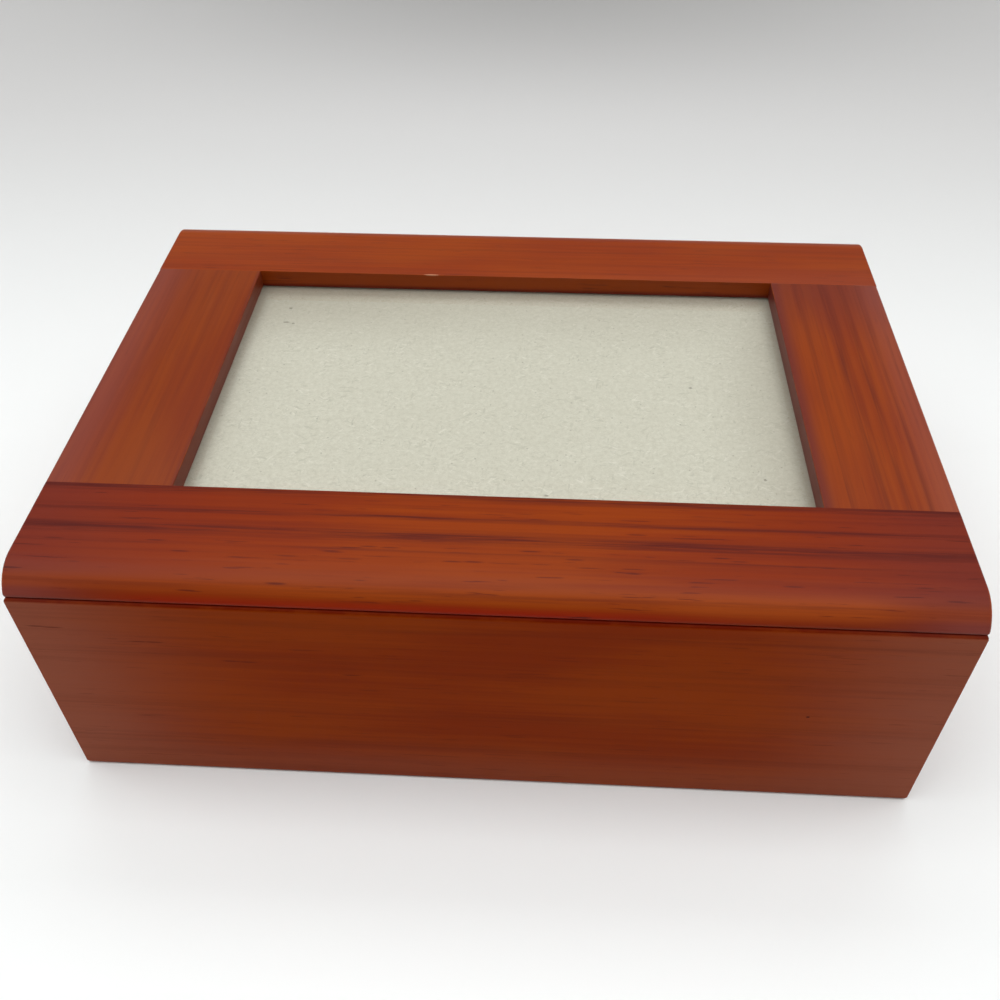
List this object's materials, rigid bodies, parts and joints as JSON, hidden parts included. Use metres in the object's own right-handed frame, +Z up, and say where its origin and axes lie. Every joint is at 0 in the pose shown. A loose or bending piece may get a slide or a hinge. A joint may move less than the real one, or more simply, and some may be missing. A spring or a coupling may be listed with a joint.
{
  "type": "photo storage box",
  "caption": "Stained wooden keepsake box whose hinged lid is a picture frame: glazed recess, grey card, back board held by turn buttons, felt floor inside.",
  "frame": {"origin": "centre of the footprint, on the surface the box stands on", "axes": "+X to the right seen from the front, +Y from the front to the hinges, +Z up"},
  "size_m": [0.203, 0.149, 0.0693],
  "materials": {
    "stained_wood": "red-brown stain under satin lacquer",
    "bare_wood": "bare",
    "hardboard": "matt brown hardboard",
    "glass": "clear polished",
    "grey_card": "grey chipboard, matt",
    "felt": "dark brown felt",
    "brass": "brass plated, satin"
  },
  "bodies": {
    "box": {"front_panel": "stained_wood", "rear_panel": "stained_wood", "left_panel": "stained_wood", "right_panel": "stained_wood", "bottom_panel": "hardboard", "floor_felt": "felt", "hinge_box_leaf_left": "brass", "hinge_box_leaf_right": "brass", "hinge_pin_left": "brass", "hinge_pin_right": "brass", "hinge_box_screws": "brass"},
    "lid": {"lid_front_rail": "stained_wood", "lid_rear_rail": "stained_wood", "lid_left_stile": "stained_wood", "lid_right_stile": "stained_wood", "lid_dowels": "bare_wood", "glass_pane": "glass", "grey_card": "grey_card", "back_board": "hardboard", "back_board_felt": "felt", "turn_button_screws": "brass", "hinge_lid_leaf_left": "brass", "hinge_lid_leaf_right": "brass", "hinge_lid_screws": "brass"},
    "turn_button_front_left": {"turn_button_front_left": "brass"},
    "turn_button_front_right": {"turn_button_front_right": "brass"},
    "turn_button_rear_left": {"turn_button_rear_left": "brass"},
    "turn_button_rear_right": {"turn_button_rear_right": "brass"}
  },
  "joints": [
    {"name": "lid_hinge", "type": "hinge", "parent": "box", "child": "lid", "pos_m": [0, 0.0732, 0.0632], "axis": [-1, 0, 0], "range_deg": [0, 95]},
    {"name": "turn_button_front_left_pivot", "type": "hinge", "parent": "lid", "child": "turn_button_front_left", "pos_m": [-0.042, -0.0572, 0.0595], "axis": [0, 0, 1], "range_deg": [-90, 90]},
    {"name": "turn_button_front_right_pivot", "type": "hinge", "parent": "lid", "child": "turn_button_front_right", "pos_m": [0.042, -0.0572, 0.0595], "axis": [0, 0, 1], "range_deg": [-90, 90]},
    {"name": "turn_button_rear_left_pivot", "type": "hinge", "parent": "lid", "child": "turn_button_rear_left", "pos_m": [-0.042, 0.057, 0.0595], "axis": [0, 0, 1], "range_deg": [-90, 90]},
    {"name": "turn_button_rear_right_pivot", "type": "hinge", "parent": "lid", "child": "turn_button_rear_right", "pos_m": [0.042, 0.057, 0.0595], "axis": [0, 0, 1], "range_deg": [-90, 90]}
  ]
}
